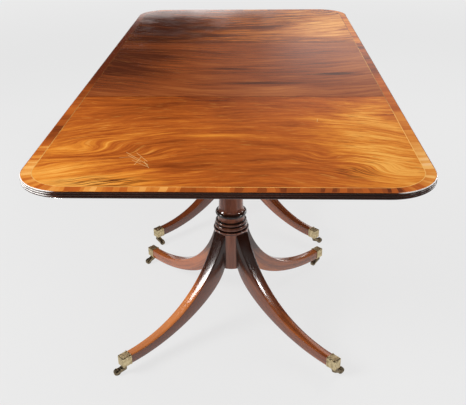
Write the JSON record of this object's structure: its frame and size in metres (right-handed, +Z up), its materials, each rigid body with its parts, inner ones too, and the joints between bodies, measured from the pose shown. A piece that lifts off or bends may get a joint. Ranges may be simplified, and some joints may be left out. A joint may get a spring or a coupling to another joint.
{
  "type": "triple pedestal dining table",
  "caption": "Long dining table in parting sections, each a crossbanded, reeded mahogany top on a turned column with sabre legs, brass toe caps and swivelling castors.",
  "frame": {"origin": "on the floor under the centre of the table", "axes": "+Y along the table, away from the end nearest in the picture; +X across it; +Z up"},
  "size_m": [1.28, 2.6616, 0.74],
  "materials": {
    "mahogany": "french polished",
    "crossband": "french polished",
    "boxwood": "french polished",
    "beech": "bare",
    "brass": "dull, aged",
    "steel": "dull"
  },
  "bodies": {
    "front_section": {"front_top_board": "mahogany", "front_crossband": "crossband", "front_stringing": "boxwood", "front_bearers": "mahogany", "front_top_block": "mahogany", "front_screws": "steel", "front_column": "mahogany", "front_legs": "mahogany", "front_toe_caps": "brass", "front_catch_studs": "brass"},
    "middle_section": {"middle_top_board": "mahogany", "middle_crossband": "crossband", "middle_stringing": "boxwood", "middle_bearers": "mahogany", "middle_top_block": "mahogany", "middle_screws": "steel", "middle_column": "mahogany", "middle_legs": "mahogany", "middle_toe_caps": "brass", "middle_catch_pivots": "brass", "seam_dowels": "beech"},
    "rear_section": {"rear_top_board": "mahogany", "rear_crossband": "crossband", "rear_stringing": "boxwood", "rear_bearers": "mahogany", "rear_top_block": "mahogany", "rear_screws": "steel", "rear_column": "mahogany", "rear_legs": "mahogany", "rear_toe_caps": "brass", "rear_catch_studs": "brass"},
    "front_front_left_castor": {"front_front_left_castor_horn": "brass"},
    "front_front_left_castor_wheel": {"front_front_left_castor_wheel": "brass"},
    "front_front_right_castor": {"front_front_right_castor_horn": "brass"},
    "front_front_right_castor_wheel": {"front_front_right_castor_wheel": "brass"},
    "front_rear_right_castor": {"front_rear_right_castor_horn": "brass"},
    "front_rear_right_castor_wheel": {"front_rear_right_castor_wheel": "brass"},
    "front_rear_left_castor": {"front_rear_left_castor_horn": "brass"},
    "front_rear_left_castor_wheel": {"front_rear_left_castor_wheel": "brass"},
    "middle_front_left_castor": {"middle_front_left_castor_horn": "brass"},
    "middle_front_left_castor_wheel": {"middle_front_left_castor_wheel": "brass"},
    "middle_front_right_castor": {"middle_front_right_castor_horn": "brass"},
    "middle_front_right_castor_wheel": {"middle_front_right_castor_wheel": "brass"},
    "middle_rear_right_castor": {"middle_rear_right_castor_horn": "brass"},
    "middle_rear_right_castor_wheel": {"middle_rear_right_castor_wheel": "brass"},
    "middle_rear_left_castor": {"middle_rear_left_castor_horn": "brass"},
    "middle_rear_left_castor_wheel": {"middle_rear_left_castor_wheel": "brass"},
    "rear_front_left_castor": {"rear_front_left_castor_horn": "brass"},
    "rear_front_left_castor_wheel": {"rear_front_left_castor_wheel": "brass"},
    "rear_front_right_castor": {"rear_front_right_castor_horn": "brass"},
    "rear_front_right_castor_wheel": {"rear_front_right_castor_wheel": "brass"},
    "rear_rear_right_castor": {"rear_rear_right_castor_horn": "brass"},
    "rear_rear_right_castor_wheel": {"rear_rear_right_castor_wheel": "brass"},
    "rear_rear_left_castor": {"rear_rear_left_castor_horn": "brass"},
    "rear_rear_left_castor_wheel": {"rear_rear_left_castor_wheel": "brass"},
    "front_left_catch": {"front_left_catch": "brass"},
    "front_right_catch": {"front_right_catch": "brass"},
    "rear_left_catch": {"rear_left_catch": "brass"},
    "rear_right_catch": {"rear_right_catch": "brass"}
  },
  "joints": [
    {"name": "front_section_slide", "type": "slide", "parent": "middle_section", "child": "front_section", "axis": [0, -1, 0], "range_m": [0, 0.5]},
    {"name": "rear_section_slide", "type": "slide", "parent": "middle_section", "child": "rear_section", "axis": [0, 1, 0], "range_m": [0, 0.5]},
    {"name": "front_front_left_castor_swivel", "type": "hinge", "parent": "front_section", "child": "front_front_left_castor", "pos_m": [-0.3631, -1.2539, 0.0355], "axis": [0, 0, 1], "continuous": true},
    {"name": "front_front_left_castor_roll", "type": "hinge", "parent": "front_front_left_castor", "child": "front_front_left_castor_wheel", "pos_m": [-0.38737, -1.26574, 0.0125], "axis": [0.4384, -0.8988, 0], "continuous": true},
    {"name": "front_front_right_castor_swivel", "type": "hinge", "parent": "front_section", "child": "front_front_right_castor", "pos_m": [0.3631, -1.2539, 0.0355], "axis": [0, 0, 1], "continuous": true},
    {"name": "front_front_right_castor_roll", "type": "hinge", "parent": "front_front_right_castor", "child": "front_front_right_castor_wheel", "pos_m": [0.38648, -1.2404, 0.0125], "axis": [-0.5, 0.866, 0], "continuous": true},
    {"name": "front_rear_right_castor_swivel", "type": "hinge", "parent": "front_section", "child": "front_rear_right_castor", "pos_m": [0.3631, -0.5277, 0.0355], "axis": [0, 0, 1], "continuous": true},
    {"name": "front_rear_right_castor_roll", "type": "hinge", "parent": "front_rear_right_castor", "child": "front_rear_right_castor_wheel", "pos_m": [0.34434, -0.54712, 0.0125], "axis": [0.7193, -0.6947, 0], "continuous": true},
    {"name": "front_rear_left_castor_swivel", "type": "hinge", "parent": "front_section", "child": "front_rear_left_castor", "pos_m": [-0.3631, -0.5277, 0.0355], "axis": [0, 0, 1], "continuous": true},
    {"name": "front_rear_left_castor_roll", "type": "hinge", "parent": "front_rear_left_castor", "child": "front_rear_left_castor_wheel", "pos_m": [-0.38316, -0.54577, 0.0125], "axis": [0.6691, -0.7431, 0], "continuous": true},
    {"name": "middle_front_left_castor_swivel", "type": "hinge", "parent": "middle_section", "child": "middle_front_left_castor", "pos_m": [-0.3631, -0.3631, 0.0355], "axis": [0, 0, 1], "continuous": true},
    {"name": "middle_front_left_castor_roll", "type": "hinge", "parent": "middle_front_left_castor", "child": "middle_front_left_castor_wheel", "pos_m": [-0.34242, -0.38045, 0.0125], "axis": [0.6428, 0.766, 0], "continuous": true},
    {"name": "middle_front_right_castor_swivel", "type": "hinge", "parent": "middle_section", "child": "middle_front_right_castor", "pos_m": [0.3631, -0.3631, 0.0355], "axis": [0, 0, 1], "continuous": true},
    {"name": "middle_front_right_castor_roll", "type": "hinge", "parent": "middle_front_right_castor", "child": "middle_front_right_castor_wheel", "pos_m": [0.38694, -0.35042, 0.0125], "axis": [-0.4695, 0.8829, 0], "continuous": true},
    {"name": "middle_rear_right_castor_swivel", "type": "hinge", "parent": "middle_section", "child": "middle_rear_right_castor", "pos_m": [0.3631, 0.3631, 0.0355], "axis": [0, 0, 1], "continuous": true},
    {"name": "middle_rear_right_castor_roll", "type": "hinge", "parent": "middle_rear_right_castor", "child": "middle_rear_right_castor_wheel", "pos_m": [0.36871, 0.38951, 0.0125], "axis": [-0.9781, 0.2079, 0], "continuous": true},
    {"name": "middle_rear_left_castor_swivel", "type": "hinge", "parent": "middle_section", "child": "middle_rear_left_castor", "pos_m": [-0.3631, 0.3631, 0.0355], "axis": [0, 0, 1], "continuous": true},
    {"name": "middle_rear_left_castor_roll", "type": "hinge", "parent": "middle_rear_left_castor", "child": "middle_rear_left_castor_wheel", "pos_m": [-0.38648, 0.3766, 0.0125], "axis": [-0.5, -0.866, 0], "continuous": true},
    {"name": "rear_front_left_castor_swivel", "type": "hinge", "parent": "rear_section", "child": "rear_front_left_castor", "pos_m": [-0.3631, 0.5277, 0.0355], "axis": [0, 0, 1], "continuous": true},
    {"name": "rear_front_left_castor_roll", "type": "hinge", "parent": "rear_front_left_castor", "child": "rear_front_left_castor_wheel", "pos_m": [-0.38969, 0.52301, 0.0125], "axis": [0.1736, -0.9848, 0], "continuous": true},
    {"name": "rear_front_right_castor_swivel", "type": "hinge", "parent": "rear_section", "child": "rear_front_right_castor", "pos_m": [0.3631, 0.5277, 0.0355], "axis": [0, 0, 1], "continuous": true},
    {"name": "rear_front_right_castor_roll", "type": "hinge", "parent": "rear_front_right_castor", "child": "rear_front_right_castor_wheel", "pos_m": [0.3766, 0.50432, 0.0125], "axis": [0.866, 0.5, 0], "continuous": true},
    {"name": "rear_rear_right_castor_swivel", "type": "hinge", "parent": "rear_section", "child": "rear_rear_right_castor", "pos_m": [0.3631, 1.2539, 0.0355], "axis": [0, 0, 1], "continuous": true},
    {"name": "rear_rear_right_castor_roll", "type": "hinge", "parent": "rear_rear_right_castor", "child": "rear_rear_right_castor_wheel", "pos_m": [0.38847, 1.26313, 0.0125], "axis": [-0.342, 0.9397, 0], "continuous": true},
    {"name": "rear_rear_left_castor_swivel", "type": "hinge", "parent": "rear_section", "child": "rear_rear_left_castor", "pos_m": [-0.3631, 1.2539, 0.0355], "axis": [0, 0, 1], "continuous": true},
    {"name": "rear_rear_left_castor_roll", "type": "hinge", "parent": "rear_rear_left_castor", "child": "rear_rear_left_castor_wheel", "pos_m": [-0.37451, 1.27837, 0.0125], "axis": [-0.9063, -0.4226, 0], "continuous": true},
    {"name": "front_left_catch_swing", "type": "hinge", "parent": "middle_section", "child": "front_left_catch", "pos_m": [-0.45, -0.422, 0.7161], "axis": [0, 0, -1], "range_deg": [0, 90]},
    {"name": "front_right_catch_swing", "type": "hinge", "parent": "middle_section", "child": "front_right_catch", "pos_m": [0.45, -0.422, 0.7161], "axis": [0, 0, 1], "range_deg": [0, 90]},
    {"name": "rear_left_catch_swing", "type": "hinge", "parent": "middle_section", "child": "rear_left_catch", "pos_m": [-0.45, 0.422, 0.7161], "axis": [0, 0, 1], "range_deg": [0, 90]},
    {"name": "rear_right_catch_swing", "type": "hinge", "parent": "middle_section", "child": "rear_right_catch", "pos_m": [0.45, 0.422, 0.7161], "axis": [0, 0, -1], "range_deg": [0, 90]}
  ]
}
